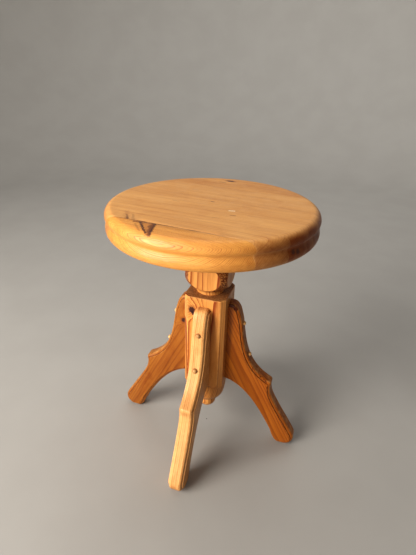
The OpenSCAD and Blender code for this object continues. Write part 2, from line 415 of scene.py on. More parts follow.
def pine(name, grain, pith, spacing, early, late=AMBER, contrast=0.75, marks=(), seam=None,
         wear_and_painted_light=(), warp=5.0, tone=0.22, end_tone=0.5, wander=2.5, kink=None, relief=0.4):
    """Varnished pine sawn from a log: grain is the log's direction, pith a point on its centre,
    spacing the width of a year's ring, in millimetres. marks are calls that draw a knot, a stroke
    or a ring, wear_and_painted_light names the vertex attributes that hold wear, dirt, painted
    highlight and painted shade, end_tone says how much darker the end grain is, kink is a height
    where the rings turn a corner, and relief how far the rings stand out under the varnish."""
    s = Shader(name)
    turn = log_frame(grain)
    coordinates = s.node("ShaderNodeTexCoord")
    metres = coordinates.outputs["Object"]
    place_mm = s.stretched(metres, TO_MM)
    log = s.mapped(metres, tuple(-(turn @ Vector(pith))), turn.to_euler(), TO_MM)
    drawn = [draw(s, place_mm) for draw in marks]

    slow = s.noise(s.stretched(log, (0.18, 1, 1)), 0.022, output="Color")
    wave = s.vector("SUBTRACT", slow, (0.5, 0.5, 0.5))
    ring = year_rings(s, pith_distance(s, log, wave, warp, place_mm, kink, drawn), spacing, wander)
    fibre = s.noise(s.stretched(log, (0.03, 1.3, 1.3)), 1.0, 4.0, 0.65)
    stain = s.noise(metres, 26.0, 3.0, 0.6)
    shade = wood_shade(s, log, fibre, stain, tone)

    colour = s.mix(s.times(ring, contrast), early, late)
    tint = s.ramp(s.math("MULTIPLY_ADD", shade, 0.5, 0.25), SHADE_TINTS)
    colour = s.mix(1.0, colour, tint, "MULTIPLY")
    facing = s.vector("DOT_PRODUCT", coordinates.outputs["Normal"], tuple(Vector(grain).normalized()))
    blotch = s.ranged(stain, 0.35, 0.65, 0.75, 1.15)
    end = s.times(s.ranged(s.math("ABSOLUTE", facing), 0.25, 0.95, 0.0, end_tone), blotch)
    colour = s.mix(end, colour, s.mix(1.0, colour, END_GRAIN, "MULTIPLY"))
    for mark in drawn:
        if "halo" in mark:
            colour = s.mix(mark["halo"], colour, RUST)
        colour = s.mix(mark["core"], colour, mark["colour"])
    if seam:
        colour = s.mix(glue_line(s, place_mm, *seam), colour, GLUE_DARK)

    height = s.math("SUBTRACT", s.times(ring, 0.8), s.times(fibre, 0.4))
    rough = s.ranged(s.noise(metres, 60.0, 3.0), 0.3, 0.7, 0.34, 0.46)
    colour, rough, height = wood_wear_and_painted_light(s, metres, wave, wear_and_painted_light, colour, rough, height)
    dents = s.ranged(s.noise(metres, 38.0, 1.0), 0.66, 0.78)
    normal = s.bump(height, 0.0003, relief, s.bump(dents, 0.0004, 0.25))
    return s.surface({
        "Base Color": colour, "Roughness": rough, "Normal": normal, "Specular IOR Level": 0.20,
        "Coat Weight": 0.22, "Coat Roughness": 0.20, "Coat Normal": normal,
    })


def knot(centre, direction, radius, darkness, stretch=None):
    """A round knot: a branch along direction, seen where the surface cuts across it. stretch is a
    direction along which the knot is drawn out to twice its width."""

    reach = 20.0

    def draw(s, place_mm):
        axis = Vector(direction).normalized()
        off = s.vector("SUBTRACT", place_mm, centre)
        if stretch is not None:
            long = Vector(stretch).normalized()
            part = s.vector("DOT_PRODUCT", off, tuple(long))
            off = s.vector("SUBTRACT", off, s.scaled(tuple(0.5 * long), part))
        along = s.vector("DOT_PRODUCT", off, tuple(axis))
        ragged = s.times(s.noise(place_mm, 0.35, 3.0), radius * 0.7)
        away = s.off_line(off, axis, along)
        away = s.plus(away, ragged)
        near = s.ranged(s.math("ABSOLUTE", along), reach * 0.7, reach, 1.0, 0.0)
        rings = s.math("SINE", s.times(away, 4.0))
        return {
            "core": s.times(s.ranged(away, radius * 0.95, radius * 1.35, 1.0, 0.0), near),
            "halo": s.times(s.ranged(away, radius * 1.2, radius * 2.2, 0.50, 0.0), near),
            "colour": s.mix(s.ranged(rings, -1.0, 1.0, darkness, darkness - 0.3), KNOT_BROWN, KNOT_DARK),
            "push": s.times(s.ranged(away, 0.0, radius * 4.5, radius * 1.3, 0.0), near),
        }

    return draw


def stroke(start, stop, half_width, colour, strength, taper=1.0, ragged=0.5, soft=0.45):
    """A long mark from start to stop, such as bark, resin, a chip or a scratch. taper is its width
    at stop as a share of the width at start, ragged how uneven its sides are, soft how blurred."""

    def draw(s, place_mm):
        reach = Vector(stop) - Vector(start)
        off = s.vector("SUBTRACT", place_mm, tuple(start))
        part = s.vector("DOT_PRODUCT", off, tuple(reach))
        share = s.math("DIVIDE", part, reach.length_squared, clamp=True)
        away = s.off_line(off, reach, share)
        uneven = s.math("SUBTRACT", s.noise(place_mm, 0.9 / half_width, 3.0, 0.6), 0.5)
        away = s.plus(away, s.times(uneven, 5 * ragged * half_width))
        width = s.ranged(share, 0.0, 1.0, half_width, half_width * taper, smooth=False)
        core = s.ranged(s.math("DIVIDE", away, width), 1 - soft, 1 + soft, strength, 0.0)
        return {"core": core, "colour": s.tone(colour)}

    return draw


def ring_mark(centre, direction, inner, outer):
    """The dark ring round the foot of a plug, on a line through centre along direction: painted shade
    where the plug meets the leg, and grime.
    """

    def draw(s, place_mm):
        axis = Vector(direction).normalized()
        off = s.vector("SUBTRACT", place_mm, tuple(centre))
        along = s.vector("DOT_PRODUCT", off, tuple(axis))
        away = s.off_line(off, axis, along)
        ring = s.times(s.ranged(away, inner, outer, 0.75, 0.0), s.ranged(along, -8.0, 0.0))
        return {"core": ring, "colour": s.tone(RUST)}

    return draw


# ---- metal and felt ------------------


def metal(name, colour, roughness, metallic=1.0, speckle=0.25, scale=700.0, dirt=(0.05, 0.04, 0.03)):
    """Metal with fine machining or casting texture and patches of old grease or rust."""
    s = Shader(name)
    metres = s.coords()
    fine = s.noise(metres, scale, 3.0, 0.6)
    patches = s.ranged(s.noise(metres, 55.0, 4.0, 0.6), 0.52, 0.70)
    base = s.mix(s.times(patches, 0.6), colour, dirt)
    base = s.mix(1.0, base, s.grey(s.ranged(fine, 0.3, 0.7, 1 + speckle, 1 - speckle)), "MULTIPLY")
    rough = s.ranged(fine, 0.3, 0.7, roughness - 0.06, roughness + 0.08)
    return s.surface({
        "Base Color": base, "Roughness": s.plus(rough, s.times(patches, 0.25)),
        "Normal": s.bump(fine, 0.0001, 0.4), "Metallic": metallic,
    })


def felt(name, colour):
    s = Shader(name)
    metres = s.coords()
    fibres = s.noise(s.stretched(metres, (1, 1, 2.5)), 1500.0, 4.0, 0.7)
    tufts = s.noise(metres, 260.0, 2.0)
    base = s.mix(s.ranged(fibres, 0.35, 0.65), colour, tuple(min(1, 2.6 * c) for c in colour))
    base = s.mix(1.0, base, s.grey(s.ranged(tufts, 0.3, 0.7, 0.75, 1.2)), "MULTIPLY")
    return s.surface({
        "Base Color": base, "Normal": s.bump(s.plus(fibres, tufts), 0.0006, 0.8),
        "Roughness": 0.95, "Sheen Weight": 0.4,
    })


# ---- seat ----------------------------

# the glue line of the first two boards, across the grain, and where it stands open along it
OPEN_JOINT = -130
OPEN_SEAM = (-112, 92)

WHEAT = (0.75, 0.405, 0.145)
SPECK = (0.16, 0.075, 0.035)
CHIP = (0.95, 0.80, 0.55)
BARK = (0.055, 0.012, 0.008)
BRANCH = (0.17, 0.055, 0.015)


def seat_path():
    """Half section of the seat, from the middle of the top to the middle of the bottom."""
    r, low, high = SEAT_R, SEAT_LOW, SEAT_HIGH
    top_round, bottom_round = 13 * MM, 12 * MM
    waist = (r - 3.0 * MM, high - 21 * MM)
    belly = (r, high - 32 * MM)
    shoulder = (r, high - top_round)
    step = 4.2 * MM
    return joined(
        line((1 * MM, high), (r - 30 * MM, high), 7),
        line((r - 30 * MM, high), (r - top_round, high), 3),
        arc(r - top_round, high - top_round, top_round, 90, 0, 14),
        bezier(shoulder, (r, shoulder[1] - step), (waist[0], waist[1] + 3.2 * MM), waist, 8),
        bezier(waist, (waist[0], waist[1] - 3.4 * MM), (r, belly[1] + step), belly, 9),
        arc(r - bottom_round, low + bottom_round, bottom_round, 4, -90, 12),
        line((r - bottom_round, low), (1 * MM, low), 5),
    )


def seam_depth(point, at):
    """How deep the groove of a board joint is: a hair everywhere, more where it stands open."""
    along = point.dot(Vector(ALONG)) / MM
    first = abs(at / MM - OPEN_JOINT) < 1
    on_top = point.z > SEAT_HIGH - 3 * MM
    is_open = first and on_top and OPEN_SEAM[0] < along < OPEN_SEAM[1]
    return (0.30 if is_open else 0.05) * MM


def seat_boards():
    """The seat's outline cut along the joints, with a fine groove on both sides of each."""
    blank = lathe("seat_blank", seat_path(), 300)
    source = bmesh.new()
    source.from_mesh(blank.data)
    # the two small holes in the middle of the top and bottom
    bmesh.ops.holes_fill(source, edges=open_edges(source.edges))
    boards = []
    width = 0.8 * MM
    for i, node in enumerate(BOARDS):
        across = object_points(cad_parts[node]) @ ACROSS
        bm = source.copy()
        for at, sign, cut in ((across.min(), -1, i > 0), (across.max(), 1, i < len(BOARDS) - 1)):
            if not cut:
                continue
            whole = bm.verts[:] + bm.edges[:] + bm.faces[:]
            bmesh.ops.bisect_plane(bm, geom=whole, dist=1e-7,
                                   plane_co=tuple(ACROSS * (at - sign * width)), plane_no=tuple(ACROSS))
            whole = bm.verts[:] + bm.edges[:] + bm.faces[:]
            found = bmesh.ops.bisect_plane(bm, geom=whole, dist=1e-7, plane_co=tuple(ACROSS * at),
                                           plane_no=tuple(ACROSS * sign), clear_outer=True)
            bm.normal_update()
            rim = [e for e in found["geom_cut"] if isinstance(e, bmesh.types.BMEdge)]
            for v in {v for e in rim for v in e.verts}:
                v.co -= v.normal * seam_depth(v.co, at)
            bmesh.ops.edgeloop_fill(bm, edges=open_edges(rim))
        mesh = bpy.data.meshes.new(node + "_wood")
        bm.to_mesh(mesh)
        bm.free()
        obj = linked(node + "_wood", mesh)
        tidy_mesh(obj, 50)
        boards.append(place(obj, "seat", "seat_pine", node))
    source.free()
    bpy.data.objects.remove(blank)
    return boards


def swung(degrees):
    """A level direction, turned from the X axis."""
    return (math.cos(math.radians(degrees)), math.sin(math.radians(degrees)), 0)


def on_top(x0, y0, x1, y1, half_width, colour, *look):
    """A stroke on the top of the seat."""
    top = SEAT_HIGH / MM
    return stroke((x0, y0, top), (x1, y1, top), half_width, colour, *look)


def seat_materials(boards):
    """Each board has its own log, tone and faults."""
    top = SEAT_HIGH / MM
    open_seam = (OPEN_JOINT, *OPEN_SEAM, 0.9)
    woods = [
        # a branch runs through the first board and leaves a V of bark beside the glue line
        dict(grain=swung(-8), pith=(0, -202, top - 7), spacing=1.7, early=(0.80, 0.400, 0.105),
             late=(0.44, 0.125, 0.014), contrast=0.90, warp=1.2, wander=1.5, seam=open_seam,
             end_tone=0.45, kink=top - 7, relief=1.3,
             marks=[on_top(-57, -128, -37, -171, 8.0, (0.42, 0.16, 0.040), 0.60, 0.3, 0.5, 0.8),
                    on_top(-78, -127, -62, -127, 2.4, BRANCH, 0.75, 1.2, 1.0, 0.9),
                    on_top(-68, -128, -37, -172, 1.9, BARK, 0.95, 0.7, 0.9, 0.7),
                    on_top(-72, -136, -56, -156, 1.6, BRANCH, 0.4, 0.7, 1.0, 0.9),
                    on_top(-49, -128, -37, -170, 4.0, BRANCH, 0.95, 0.6, 0.8, 0.7),
                    on_top(-45, -128, -35, -173, 1.6, BARK, 0.85, 0.8, 1.0, 0.7),
                    stroke((-37, -168, top), (-33, -176, top - 1), 2.8, BARK, 1.0, 1.0, 0.6, 0.6),
                    knot((-138, -106, top - 24), (-0.8, -0.6, 0), 3.5, 0.7)]),
        dict(grain=swung(-7), pith=(0, -40, top - 105), spacing=2.3, early=WHEAT, contrast=0.36,
             seam=open_seam, end_tone=0.62, warp=4.0,
             marks=[on_top(-92, -122, -108, -92, 4.0, (0.45, 0.20, 0.065), 0.65, 0.9, 0.6, 0.9),
                    on_top(-91, -123, -101, -105, 2.0, BARK, 0.7, 0.4, 0.8, 0.9),
                    on_top(-82, -121, -94, -100, 2.2, BRANCH, 0.35, 0.6, 0.8, 0.9),
                    stroke((112, -143, top - 10), (141, -108, top - 24), 5.0, (0.20, 0.05, 0.006),
                           0.55, 1.0, 1.0, 0.9)]),
        dict(grain=swung(-5), pith=(0, 30, top - 150), spacing=2.7, early=WHEAT, contrast=0.32,
             end_tone=1.0,
             marks=[knot((146, -95, top - 26), (0.8, -0.5, 0), 4.0, 0.7),
                    knot((151, -87, top - 28), (0.8, -0.5, 0), 4.0, 0.7),
                    on_top(36, -32, 44, -30, 1.3, CHIP, 0.95), on_top(43, -51, 51, -51, 1.0, SPECK, 0.8),
                    on_top(-66, -13, -54, -15, 0.8, SPECK, 0.5),
                    on_top(21, -70, 31, -70, 0.7, SPECK, 0.4)]),
        dict(grain=swung(-7), pith=(0, 150, top - 120), spacing=2.4, early=WHEAT, contrast=0.30,
             end_tone=1.0,
             marks=[on_top(-4, 4, 0, 4, 1.3, SPECK, 0.85), on_top(-59, 63, -46, 61, 0.7, SPECK, 0.5)]),
        dict(grain=swung(-6), pith=(0, 60, top - 130), spacing=2.1, early=(0.70, 0.360, 0.120),
             contrast=0.38, tone=0.26, end_tone=1.0,
             marks=[knot((-9, 146, top), (0.05, 0.15, 1), 4.2, 1.0, stretch=ALONG),
                    on_top(-27, 133, -16, 132, 1.6, SPECK, 0.6)]),
    ]
    for number, (board, wood) in enumerate(zip(boards, woods), 1):
        board.data.materials.append(pine(f"pine_board_{number}", **wood))


# ---- post ----------------------------

SQUARE_LOW, SQUARE_HIGH = 130 * MM, 328 * MM


def post_path():
    """Half section of the turning from bottom to top."""
    low, high = SQUARE_LOW / MM, SQUARE_HIGH / MM
    foot, top = POST_LOW / MM, POST_TOP / MM
    wide = 62
    return MM * joined(
        line((0.2, foot), (5, foot), 2),
        bezier((5, foot), (12, foot), (17.6, foot + 5), (18, 65), 8),
        bezier((18, 65), (18.4, 71), (17.2, 76), (16.6, 78.6), 5),
        bezier((18.5, 79.4), (26, 80), (33, 87), (34.6, 98), 10),
        bezier((34.6, 98), (36, 107), (37.6, 116), (38, low - 2), 8),
        line((38, low - 1), (38.3, low), 1),
        line((38.6, low), (wide, low), 8),
        line((wide, low), (wide, high), 90),
        line((wide, high), (26, high), 12),
        line((25, high + 0.6), (24.6, high + 6.5), 3),
        bezier((24.6, high + 6.5), (24.8, high + 8.4), (25.6, high + 9.2), (27, high + 9.8), 3),
        arc(19, 366, 29.3, -74, 51, 44),
        line((36.6, top), (15, top), 5),
        line((14, top - 0.8), (14, top - 40), 4),
    )


def post_angles(flat, half):
    """Angles round the post, close together on its faces and at the corners of its chamfers."""
    corner = math.atan2(flat, half)
    quarter = np.concatenate([
        np.linspace(-corner, corner, 49)[:-1],
        np.linspace(corner, math.pi / 2 - corner, 17)[:-1],
    ])
    return np.concatenate([quarter + k * math.pi / 2 for k in range(4)])


def post_wood():
    """The turning held inside a chamfered square, with its wear, dust and torn grain, and painted shade
    with grime in its hollows.
    """
    chamfer = 8 * MM
    flat = POST_HALF - chamfer
    low, high = SQUARE_LOW, SQUARE_HIGH
    angle = post_angles(flat, POST_HALF)
    folded = np.abs((angle + math.pi / 4) % (math.pi / 2) - math.pi / 4)
    to_face = POST_HALF / np.cos(folded)
    to_chamfer = (POST_HALF + flat) / math.sqrt(2) / np.cos(math.pi / 4 - folded)
    square = smooth_min(to_face, to_chamfer, 0.6 * MM)
    path = post_path()
    rows = []
    for r, z in path:
        # the arrises of the square part are eased by half a millimetre
        near = min(abs(z - low), abs(z - high)) if low <= z <= high else 1.0
        inner = square - max(0.0, 0.5 * MM - near)
        radius = smooth_min(np.full_like(angle, r), inner, 0.5 * MM)
        rows.append(np.stack([radius * np.cos(angle), radius * np.sin(angle), np.full_like(angle, z)], 1))
    rows = np.array(rows)
    obj = mesh_object("post_wood", rows.reshape(-1, 3), grid_faces(len(path), len(angle), True), 30)
    co = object_points(obj)
    z = co[:, 2]
    radius = np.hypot(co[:, 0], co[:, 1])
    turn = np.arctan2(co[:, 1], co[:, 0])
    fold = np.abs((turn + math.pi / 4) % (math.pi / 2) - math.pi / 4)
    corner_fold = math.atan2(flat, POST_HALF)
    edge = np.exp(-((fold - corner_fold) / 0.018) ** 2) * (z > low) * (z < high)
    rim = np.exp(-((z - high) / (1.5 * MM)) ** 2) * (radius > 36 * MM)
    set_attribute(obj, "wear_and_highlight", np.clip(edge + rim, 0, 1))
    # painted shade with grime: darker in the hollow of the neck under the ball, in the inner corner at
    # the foot of the square and in the groove at the waist
    neck = np.exp(-((z - high - 8 * MM) / (3.5 * MM)) ** 2) * (radius < 30 * MM) * (z > high)
    foot = np.exp(-((z - low) / (1.2 * MM)) ** 2) * (radius < 42 * MM)
    waist = np.exp(-((z - 79 * MM) / (1.2 * MM)) ** 2)
    set_attribute(obj, "shade_and_grime", np.clip(0.7 * neck + foot + 0.8 * waist, 0, 1))
    set_attribute(obj, "dull", (np.abs(z - high) < 0.3 * MM) & (radius < 45 * MM))
    # the turned corners of the ball, beyond its flat faces
    ball_low, flat_ends = high + 12 * MM, 0.42
    beyond = (POST_HALF / np.cos(fold) - radius) / (0.8 * MM)
    set_attribute(obj, "torn", np.clip(beyond, 0, 1) * (z > ball_low) * (fold > flat_ends))
    place(obj, "base", "post_pine", "post")
    obj.data.materials.append(pine(
        "pine_post", (0.008, 0.012, 1), (34, 74, 200), 3.3, early=(0.77, 0.375, 0.110),
        late=(0.25, 0.036, 0.003), contrast=0.95, wear_and_painted_light=("wear_and_highlight", "shade_and_grime", "dull", "torn"),
        warp=2.5, tone=0.26, wander=4.0, end_tone=0.8, relief=0.7,
        marks=[knot((-22, -38.5, 301), (0.05, -1, 0.1), 7.2, 1.0),
               stroke((-21, -38.5, 297), (-19, -38.5, 290), 2.6, KNOT_DARK, 1.0, 0.3)],
    ))
    return obj


# ---- legs ----------------------------

PLUG_HEIGHTS = (268, 201)
RESIN = (0.055, 0.006, 0.004)


def leg_path():
    """Outline of a leg in its own plane, distance out and height, from the post's face round
    the foot and back to the post's face, in millimetres."""
    half, reach = POST_HALF / MM, LEG_REACH / MM
    return joined(
        line((half, 311), (44, 311), 2),
        bezier((44, 311), (54, 311), (59, 300), (61.7, 289), 12),
        bezier((62, 288), (73, 254), (65, 182), (127.5, 151.5), 34),
        bezier((127.5, 151.5), (130.4, 149.8), (131.4, 147), (129.9, 140.5), 7),
        bezier((129.9, 140.5), (129.3, 136), (129.9, 131), (132.2, 122), 4),
        bezier((132.2, 122), (139, 103), (160, 72), (reach - 3.2, 31.5), 16),
        arc(reach - 20, 20, 20, 34, -90, 22),
        line((reach - 20, 0), (158, 0), 2),
        bezier((158, 0), (150, 0), (143, 14), (138.5, 29), 10),
        bezier((138.5, 29), (118, 66), (86, 128), (half, 137), 30),
    )


def offset_path(path, inset):
    """The path moved inwards by inset; where it would cross itself, the loop is closed up to the
    crossing, so that every point keeps its partner."""
    step = np.gradient(path, axis=0)
    step /= np.linalg.norm(step, axis=1)[:, None]
    normal = np.stack([step[:, 1], -step[:, 0]], 1)
    normal[0] = (0, -1)
    normal[-1] = (0, 1)
    moved = path + normal * inset
    longest_loop = 34
    i = 0
    while i < len(moved) - 3:
        for j in range(min(i + longest_loop, len(moved) - 2), i + 1, -1):
            cross = crossing(moved[i], moved[i + 1], moved[j], moved[j + 1])
            if cross is not None:
                moved[i + 1: j + 1] = cross
                i = j
                break
        i += 1
    return moved


def crossing(a, b, c, d):
    """Where the stretch from a to b crosses the one from c to d, or None."""
    u, v, w = b - a, d - c, c - a
    area = u[0] * v[1] - u[1] * v[0]
    if abs(area) < 1e-12:
        return None
    s, t = (w[0] * v[1] - w[1] * v[0]) / area, (w[0] * u[1] - w[1] * u[0]) / area
    return a + s * u if 0 < s < 1 and 0 < t < 1 else None


def leg_moulding():
    """Section across half of a leg's edge: how far in from the outline, how far from the middle
    plane. A flat edge, a quarter round, a small square step, then the flat side."""
    half = LEG_HALF / MM
    round_r, step_at, step_h = 5.0, 5.6, 2.1
    lip = half - step_h
    return joined(
        [(0.0, 0.0), (0.0, 4.0)],
        arc(round_r, lip - round_r, round_r, 180, 90, 9),
        [(step_at - 0.3, lip - 0.3), (step_at - 0.02, lip - 0.1), (step_at, lip + 0.15)],
        [(step_at + 0.1, half - 0.35), (step_at + 0.25, half - 0.1), (step_at + 0.6, half)],
    )


def leg_wood(node, turn, material):
    """A leg: its outline, set in by the moulding, in layers from one flat side to the other."""
    path = leg_path()
    half = LEG_HALF / MM
    section = leg_moulding()
    layers = [(i, -y) for i, y in section[:0:-1]] + [tuple(p) for p in section]
    rows, wear_and_highlight, shade_and_grime = [], [], []
    # worn along the outer edge; the arris of the step is made paler, a painted highlight with wear, and
    # the corner of the step darker, painted shade with grime
    for inset, y in layers:
        moved = offset_path(path, inset)
        rows.append(np.stack([moved[:, 0], np.full(len(moved), y), moved[:, 1]], 1) * MM)
        # the arris of the step is made paler: a painted highlight, with wear
        on_arris = abs(y) > half - 0.5 and inset < 6.0
        wear_and_highlight.append(np.full(len(moved), 0.9 if on_arris else math.exp(-((inset - 0.6) / 0.8) ** 2)))
        # painted shade with grime in the corner of the step
        shade_and_grime.append(np.full(len(moved), 1.0 if 4.7 < inset < 5.59 else 0.0))
    verts = np.array(rows).reshape(-1, 3)
    count, length = len(layers), len(path)
    faces = grid_faces(count, length, False)
    # flat sides, and the end that lies on the post
    faces.append(tuple(range(length))[::-1])
    faces.append(tuple((count - 1) * length + j for j in range(length)))
    starts = [i * length for i in range(count)]
    faces.append(tuple(starts + [k + length - 1 for k in starts[::-1]]))
    mesh = bpy.data.meshes.new(node + "_wood")
    mesh.from_pydata([tuple(v) for v in verts], [], faces)
    mesh.update()
    obj = linked(node + "_wood", mesh)
    set_attribute(obj, "wear_and_highlight", np.concatenate(wear_and_highlight))
    set_attribute(obj, "shade_and_grime", np.concatenate(shade_and_grime))
    tidy_mesh(obj, 35)
    obj.data.transform(Matrix.Rotation(turn, 4, "Z"))
    obj.data.materials.append(material)
    return place(obj, "base", "leg_pine", node)


def leg_material(node, turn, pith, knots=(), strokes=(), **wood):
    """Each leg is cut with the grain running down its length, outwards and down. Places are given
    in the plane of the right leg and turned with the leg."""
    across = Matrix.Rotation(turn, 3, "Z")
    out = across @ Vector((1, 0, 0))
    # a ring of painted shade and grime round the foot of each plug
    marks = [ring_mark(across @ Vector((60, 0, z)), out, 4.4, 5.6) for z in PLUG_HEIGHTS]
    for centre, direction, radius, darkness in knots:
        centre, direction = (tuple(across @ Vector(v)) for v in (centre, direction))
        marks.append(knot(centre, direction, radius, darkness))
    for start, stop, half_width in strokes:
        ends = (tuple(across @ Vector(end)) for end in (start, stop))
        marks.append(stroke(*ends, half_width, RESIN, 0.85, 0.7, 0.7))
    grain = across @ Vector((0.46, 0.0, -0.89))
    return pine("pine_" + node, grain, across @ Vector(pith), marks=marks, wear_and_painted_light=("wear_and_highlight", "shade_and_grime"), **wood)


def legs():
    """Four legs of one shape, each from its own log."""
    brown = (0.44, 0.140, 0.013)
    woods = {
        "leg_right": (0, dict(
            pith=(78, -52, 150), spacing=3.6, early=brown, late=(0.14, 0.020, 0.002),
            contrast=0.88, warp=2.5, tone=0.24, relief=0.7,
            strokes=[((40, -13, 314), (60, -13, 300), 5.0), ((96, -13, 178), (120, -13, 155), 4.2)])),
        "leg_back": (90, dict(
            pith=(30, 90, 150), spacing=3.2, early=brown, warp=4.0, tone=0.28)),
        "leg_left": (180, dict(
            pith=(30, 95, 150), spacing=3.4, early=(0.38, 0.140, 0.020), late=(0.22, 0.055, 0.006),
            contrast=0.65, warp=6.0, tone=0.34, knots=[((47, 14, 258), (0.1, 1, 0), 5.6, 1.0)])),
        "leg_front": (270, dict(
            pith=(120, 90, 150), spacing=3.0, early=(0.82, 0.465, 0.195), late=(0.48, 0.165, 0.025),
            contrast=0.85, warp=4.0, tone=0.26, relief=0.7)),
    }
    for node, (degrees, wood) in woods.items():
        turn = math.radians(degrees)
        leg_wood(node, turn, leg_material(node, turn, **wood))


# ---- plugs over the leg screws -------

def screw_plugs():
    """Plugs with round heads, as long as the CAD node's own solids."""
    co = object_points(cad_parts["screw_plugs"])
    radius, body, dome, bevel = 4.5 * MM, 4.4 * MM, 4.4 * MM, 0.4 * MM
    segments = 32
    around = np.linspace(0, 2 * math.pi, segments, endpoint=False)
    verts, faces = [], []
    for k in range(4):
        turn = Matrix.Rotation(k * math.pi / 2, 3, "Z")
        local = co @ np.array(turn)
        beside = (local[:, 0] > 40 * MM) & (np.abs(local[:, 1]) < 6 * MM)
        for z in PLUG_HEIGHTS:
            near = beside & (np.abs(local[:, 2] - z * MM) < 6 * MM)
            low, high = local[near, 0].min(), local[near, 0].max()
            path = joined(
                [(0.05 * MM, low), (radius - bevel, low), (body, low + bevel)],
                [(body, high - 5.2 * MM), (body, high - 4.6 * MM), (radius, high - dome)],
                arc(0, 0, radius, 0, 89, 12) * (1, dome / radius) + (0, high - dome),
            )
            start = len(verts)
            for r, x in path:
                for t in around:
                    verts.append(tuple(turn @ Vector((x, r * math.cos(t), z * MM + r * math.sin(t)))))
            faces += [tuple(start + i for i in f) for f in grid_faces(len(path), segments, True)]
            faces.append(tuple(start + j for j in range(segments)))
            faces.append(tuple(start + (len(path) - 1) * segments + j for j in range(segments)))
    obj = mesh_object("plugs_wood", verts, faces, 50)
    # the varnish ran darker over the two plugs of the front leg
    set_attribute(obj, "shade_and_grime", 0.5 * (object_points(obj)[:, 1] < -20 * MM))
    obj.data.materials.append(pine(
        "pale_plugs", (0.1, 0.2, 1), (30, 60, 0), 1.5, early=(0.88, 0.55, 0.24), late=(0.60, 0.28, 0.09),
        contrast=0.6, warp=2.0, end_tone=0.2, wear_and_painted_light=("shade_and_grime",)))
    return place(obj, "base", "plug_wood", "screw_plugs")


# ---- screw, nut and plates -----------


def ring_path(inner, outer, low, high, bevel):
    """Section of a flat ring with bevelled edges, closed on itself."""
    b, c = bevel, 0.3 * bevel
    return np.array([
        (inner + b, high), (outer - b, high), (outer - c, high - c), (outer, high - b),
        (outer, low + b), (outer - c, low + c), (outer - b, low), (inner + b, low),
        (inner, low + b), (inner, high - b), (inner + b, high),
    ])


def slotted_screw(centre, swing, head, shank, length):
    """Points and faces of a countersunk wood screw with a slot, head down: head and shank are
    radii, and swing is the angle of the slot."""
    n, slot, deep, thick = 14, 0.55 * MM, 1.0 * MM, 2.1 * MM
    taper, point_radius = 4 * MM, 0.8 * MM
    verts, faces = [], []

    def ring(radius, depth):
        a = math.asin(slot / radius)
        half = np.linspace(a, math.pi - a, n)
        angles = np.concatenate([half, half + math.pi]) + swing
        start = len(verts)
        x, y, z = centre
        for t in angles:
            verts.append((x + radius * math.cos(t), y + radius * math.sin(t), z + depth))
        return start

    def band(a, b):
        for j in range(2 * n):
            k = (j + 1) % (2 * n)
            faces.append((a + j, a + k, b + k, b + j))

    top = ring(head, 0)
    floor_radius = head - (head - shank) * deep / thick
    cut = ring(floor_radius, deep)
    for half in (0, n):
        faces.append(tuple(top + half + j for j in range(n)))
        faces.append((top + half, top + half + n - 1, cut + half + n - 1, cut + half))
        for j in range(half, half + n - 1):
            faces.append((top + j, top + j + 1, cut + j + 1, cut + j))
    faces.append((cut, cut + n - 1, cut + n, cut + 2 * n - 1))
    neck = ring(shank, thick)
    band(cut, neck)
    tip = ring(shank, length - taper)
    band(neck, tip)
    point = ring(point_radius, length)
    band(tip, point)
    faces.append(tuple(point + j for j in range(2 * n)))
    return verts, faces


def flange_screws(material):
    """The four screws of the flange, each driven home with its slot at another angle."""
    out, head, shank, length = 45 * MM, 4.1 * MM, 2 * MM, 29 * MM
    verts, faces = [], []
    for k in range(4):
        a = math.radians(45 + 90 * k)
        centre = (out * math.cos(a), out * math.sin(a), FLANGE_LOW)
        v, f = slotted_screw(centre, 0.6 + 1.1 * k, head, shank, length)
        faces += [tuple(len(verts) + i for i in face) for face in f]
        verts += v
    obj = mesh_object("flange_screws_steel", verts, faces, 30)
    obj.data.materials.append(material)
    return place(obj, "seat", "zinc_steel", "flange_screws")


def spindle_steel(material):
    """The screw again with a finer, eased thread: one ridge that climbs a right-hand helix."""
    low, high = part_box("spindle")
    core, crest, pitch = 9.8 * MM, 12.5 * MM, 6 * MM
    start, turns, segments = low.z + 13 * MM, 22, 72
    ridge = [
        (0.45, 0.0), (0.75, 0.12), (1.6, 0.86), (1.95, 1.0),
        (2.85, 1.0), (3.2, 0.86), (4.05, 0.12), (4.35, 0.0),
    ]
    strips = []
    for i in range(turns * segments + 1):
        share = i / segments
        fade = min(1.0, 2 * share, 2 * (turns - share))
        a = 2 * math.pi * share
        for up, out in ridge:
            r = core - 0.05 * MM + (crest - core) * out * fade
            strips.append((r * math.cos(a), r * math.sin(a), start + pitch * share + up * MM))
    rows, columns = turns * segments + 1, len(ridge)
    faces = grid_faces(rows, columns, False)
    # the strip's underside runs inside the bar, so the ridge is a closed body of its own
    for i in range(rows - 1):
        a, b = i * columns, (i + 1) * columns
        faces.append((a, b, b + columns - 1, b - 1))
    faces += [tuple(range(columns)), tuple((rows - 1) * columns + j for j in range(columns))]
    thread = mesh_object("spindle_thread", strips, faces, 60)
    tip, tenon = 6 * MM, 7.9 * MM
    neck = low.z + 12 * MM
    bar = lathe("spindle_steel", joined(
        [(0.05 * MM, low.z), (tip - 0.8 * MM, low.z), (tip, low.z + 0.8 * MM), (tip, neck)],
        [(core - 0.5 * MM, neck), (core, neck + 0.5 * MM), (core, FLANGE_LOW), (tenon, FLANGE_LOW)],
        [(tenon, high.z), (0.05 * MM, high.z)],
    ), 72)
    whole = bmesh.new()
    whole.from_mesh(bar.data)
    bmesh.ops.holes_fill(whole, edges=open_edges(whole.edges))
    whole.from_mesh(thread.data)
    whole.to_mesh(bar.data)
    whole.free()
    bpy.data.objects.remove(thread)
    bar.data.materials.append(material)
    return place(bar, "seat", "screw_steel", "spindle")


